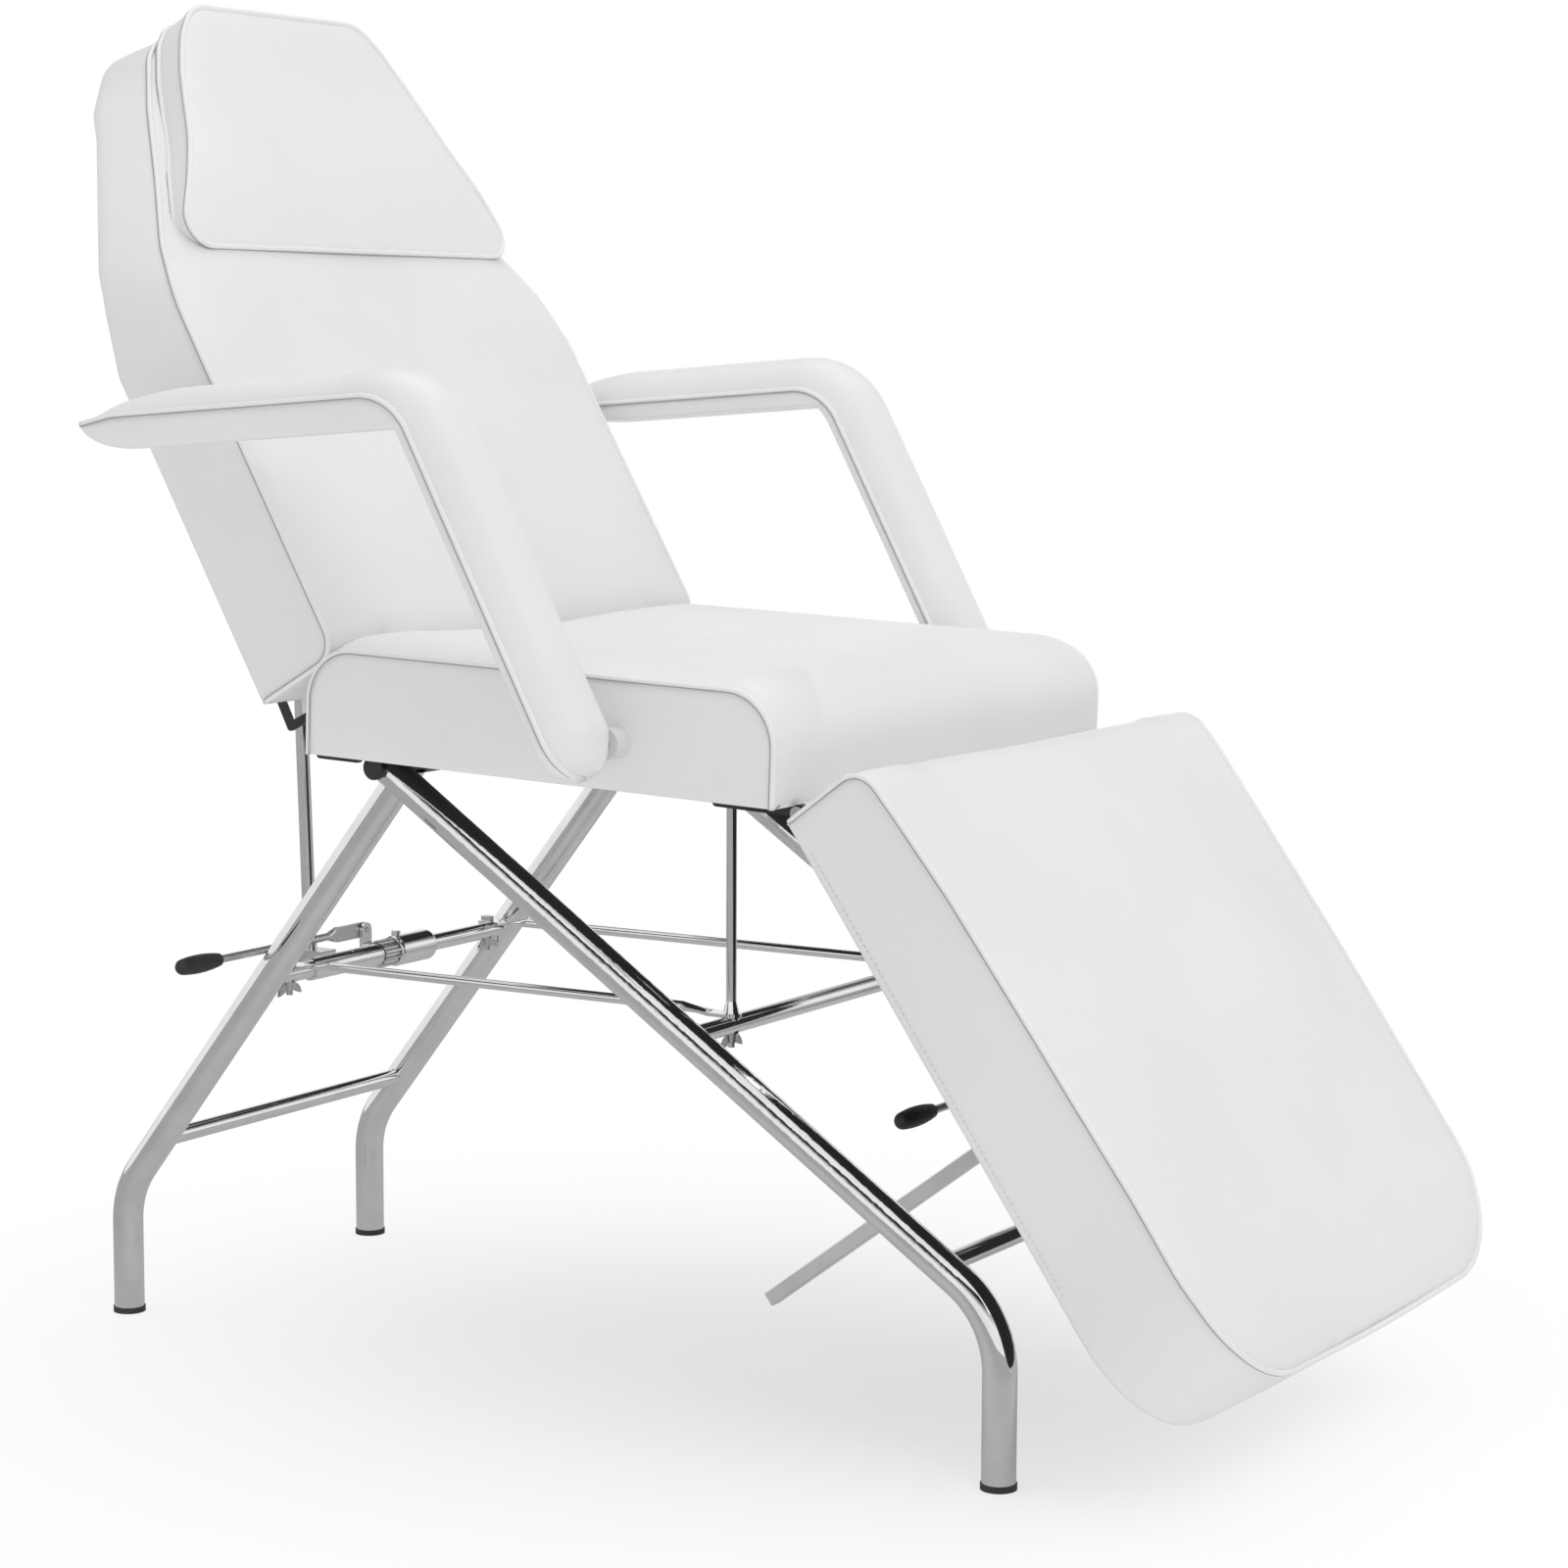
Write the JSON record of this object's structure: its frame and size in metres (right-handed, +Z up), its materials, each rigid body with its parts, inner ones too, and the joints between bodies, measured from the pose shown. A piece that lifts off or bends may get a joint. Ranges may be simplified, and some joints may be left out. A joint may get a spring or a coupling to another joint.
{
  "type": "beauty treatment bed",
  "caption": "Padded beauty treatment bed with reclining backrest, lowered legrest, swing-back armrests and head pillow on bent chrome tube legs.",
  "frame": {"origin": "on the floor, at the middle of the bed's bounding box seen from above", "axes": "+Z up, legrest towards -Y, backrest towards +Y, the sitter's right side at -X"},
  "size_m": [0.84, 1.3844, 1.3722],
  "materials": {
    "chrome": "polished chrome plate",
    "zinc_steel": "satin zinc plate",
    "black_steel": "black semi-gloss paint",
    "black_rubber": "matte",
    "black_plastic": "matte",
    "white_plastic": "matte",
    "plywood": "sanded, black dust cloth below",
    "brass_bush": "machined",
    "white_leatherette": "soft sheen leatherette over foam"
  },
  "bodies": {
    "frame": {"right_front_leg": "chrome", "left_front_leg": "chrome", "right_rear_leg": "chrome", "left_rear_leg": "chrome", "front_lower_crossbar": "chrome", "front_upper_crossbar": "chrome", "rear_lower_crossbar": "chrome", "rear_upper_crossbar": "chrome", "right_spreader_rod": "chrome", "left_spreader_rod": "chrome", "seat_strut": "chrome", "rear_lock_housing": "chrome", "rear_lock_ring": "zinc_steel", "spreader_bolts": "zinc_steel", "wing_nuts": "zinc_steel", "legrest_hinge_pins": "zinc_steel", "backrest_hinge_pins": "zinc_steel", "legrest_lock_bracket": "zinc_steel", "armrest_studs": "zinc_steel", "armrest_spacers": "white_plastic", "cross_tube": "black_steel", "cross_tube_plugs": "black_plastic", "seat_saddles": "black_steel", "seat_front_hinge_ears": "black_steel", "seat_rear_hinge_ears": "black_steel", "foot_plugs": "black_rubber", "seat_board": "plywood", "seat_rails": "plywood", "seat_cushion": "white_leatherette"},
    "backrest": {"backrest_cushion": "white_leatherette", "backrest_board": "plywood", "backrest_hinge_ears": "black_steel", "backrest_prop_bracket": "zinc_steel"},
    "pillow": {"head_pillow": "white_leatherette"},
    "legrest": {"legrest_cushion": "white_leatherette", "legrest_board": "plywood", "legrest_hinge_ears": "black_steel", "legrest_prop_bracket": "zinc_steel"},
    "backrest_lock": {"backrest_lock_sleeve": "chrome", "backrest_prop_collar": "zinc_steel", "backrest_lever_pin": "zinc_steel"},
    "backrest_support": {"backrest_prop": "chrome", "backrest_prop_pin": "zinc_steel"},
    "backrest_release": {"backrest_lever": "zinc_steel", "backrest_lever_grip": "black_rubber"},
    "legrest_lock": {"legrest_lock_housing": "zinc_steel", "legrest_lever_pin": "zinc_steel"},
    "legrest_support": {"legrest_prop": "chrome", "legrest_prop_pin": "zinc_steel"},
    "legrest_release": {"legrest_lever": "zinc_steel", "legrest_lever_grip": "black_rubber"},
    "right_armrest": {"right_armrest_pad": "white_leatherette", "right_armrest_core": "plywood", "right_armrest_bush": "brass_bush"},
    "left_armrest": {"left_armrest_pad": "white_leatherette", "left_armrest_core": "plywood", "left_armrest_bush": "brass_bush"}
  },
  "joints": [
    {"name": "backrest_recline", "type": "hinge", "parent": "frame", "child": "backrest", "pos_m": [0, 0.31933, 0.668], "axis": [-1, 0, 0], "range_deg": [0, 60]},
    {"name": "backrest_lock_turn", "type": "hinge", "parent": "frame", "child": "backrest_lock", "pos_m": [-0.08, 0.45083, 0.378], "axis": [-1, 0, 0], "range_deg": [-0.5, 23]},
    {"name": "backrest_prop_slide", "type": "slide", "parent": "backrest_lock", "child": "backrest_support", "axis": [0, -0.034, -0.9994], "range_m": [-0.002, 0.228]},
    {"name": "legrest_raise", "type": "hinge", "parent": "frame", "child": "legrest", "pos_m": [0, -0.23667, 0.606], "axis": [-1, 0, 0], "range_deg": [0, 53]},
    {"name": "legrest_lock_turn", "type": "hinge", "parent": "frame", "child": "legrest_lock", "pos_m": [0, -0.32317, 0.2825], "axis": [-1, 0, 0], "range_deg": [-0.5, 16]},
    {"name": "legrest_prop_slide", "type": "slide", "parent": "legrest_lock", "child": "legrest_support", "axis": [0, -0.8, 0.6], "range_m": [-0.002, 0.28]},
    {"name": "backrest_lever_pull", "type": "hinge", "parent": "backrest_lock", "child": "backrest_release", "pos_m": [-0.038, 0.46083, 0.406], "axis": [0, 1, 0], "range_deg": [0, 12], "stiffness_Nm_per_rad": 0.6, "springref_deg": -11.46},
    {"name": "legrest_lever_pull", "type": "hinge", "parent": "legrest_lock", "child": "legrest_release", "pos_m": [-0.02, -0.30017, 0.314], "axis": [0, 0.8, -0.6], "range_deg": [0, 12], "stiffness_Nm_per_rad": 0.6, "springref_deg": -11.46},
    {"name": "right_armrest_swing", "type": "hinge", "parent": "frame", "child": "right_armrest", "pos_m": [-0.379, -0.06117, 0.6632], "axis": [-1, 0, 0], "range_deg": [0, 30]},
    {"name": "left_armrest_swing", "type": "hinge", "parent": "frame", "child": "left_armrest", "pos_m": [0.379, -0.06117, 0.6632], "axis": [-1, 0, 0], "range_deg": [0, 30]},
    {"name": "pillow_lift_off", "type": "slide", "parent": "backrest", "child": "pillow", "axis": [0, -0.866, 0.5], "range_m": [0, 0.08]}
  ],
  "couplings": [
    {"joint": "backrest_lock_turn", "follows": "backrest_recline", "ratio": 0.3735},
    {"joint": "backrest_prop_slide", "follows": "backrest_recline", "m_per_rad": 0.2119},
    {"joint": "legrest_lock_turn", "follows": "legrest_raise", "ratio": 0.2919},
    {"joint": "legrest_prop_slide", "follows": "legrest_raise", "m_per_rad": 0.2956}
  ]
}
